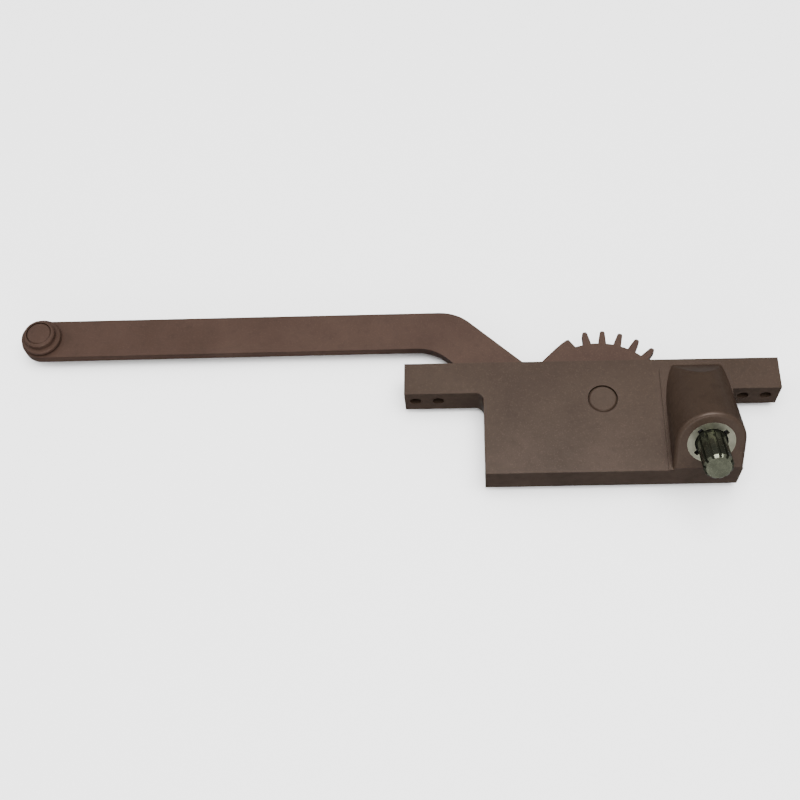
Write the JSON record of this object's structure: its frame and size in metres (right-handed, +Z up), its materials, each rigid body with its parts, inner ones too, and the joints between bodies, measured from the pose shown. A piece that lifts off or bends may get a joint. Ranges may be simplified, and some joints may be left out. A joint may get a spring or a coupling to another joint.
{
  "type": "casement window operator",
  "caption": "Single-arm casement window operator: eared bronze housing with a worm and gear sector, offset arm with a track roller and a splined stub for a crank handle.",
  "frame": {"origin": "middle of the inner screw-hole pair, on the flat back face that bears on the window frame", "axes": "+Z up, +X right seen from the room, -Y into the room; the screws run along Y"},
  "size_m": [0.2368, 0.0668, 0.0312],
  "materials": {
    "bronze_casting": "satin",
    "bronze_arm": "satin",
    "plated_steel": "zinc plated",
    "shaft_steel": "machined",
    "sintered_bronze": "oiled",
    "acetal": "plain",
    "rubber": "plain"
  },
  "bodies": {
    "base": {"housing": "bronze_casting", "bottom_cover": "bronze_casting", "cover_screw_1": "plated_steel", "cover_screw_2": "plated_steel", "cover_screw_3": "plated_steel", "pivot_pin": "bronze_casting", "pin_washer": "plated_steel", "lower_thrust_washer": "acetal", "upper_thrust_washer": "acetal", "shaft_bushing": "sintered_bronze", "lower_bearing": "sintered_bronze", "shaft_thrust_washer": "plated_steel", "shaft_seal": "rubber", "lock_ring": "plated_steel"},
    "swing_arm": {"arm": "bronze_arm", "gear_sector": "bronze_arm", "pivot_bushing": "sintered_bronze", "sector_rivet_1": "bronze_arm", "sector_rivet_2": "bronze_arm", "sector_rivet_3": "bronze_arm", "roller_washer": "acetal", "roller_stud": "bronze_arm"},
    "track_roller": {"roller": "bronze_arm"},
    "worm": {"worm_shaft": "shaft_steel"}
  },
  "joints": [
    {"name": "arm_swing", "type": "hinge", "parent": "base", "child": "swing_arm", "pos_m": [0.0032, -0.0132, 0], "axis": [0, 0, -1], "range_deg": [0, 68]},
    {"name": "worm_spin", "type": "hinge", "parent": "base", "child": "worm", "pos_m": [0.03245, -0.0329, 0.0142], "axis": [0, -0.8746, 0.4848], "range_deg": [0, 1904]},
    {"name": "roller_spin", "type": "hinge", "parent": "swing_arm", "child": "track_roller", "pos_m": [-0.1724, 0.0144, 0.001], "axis": [0, 0, 1], "continuous": true}
  ],
  "couplings": [
    {"joint": "worm_spin", "follows": "arm_swing", "ratio": 28}
  ]
}
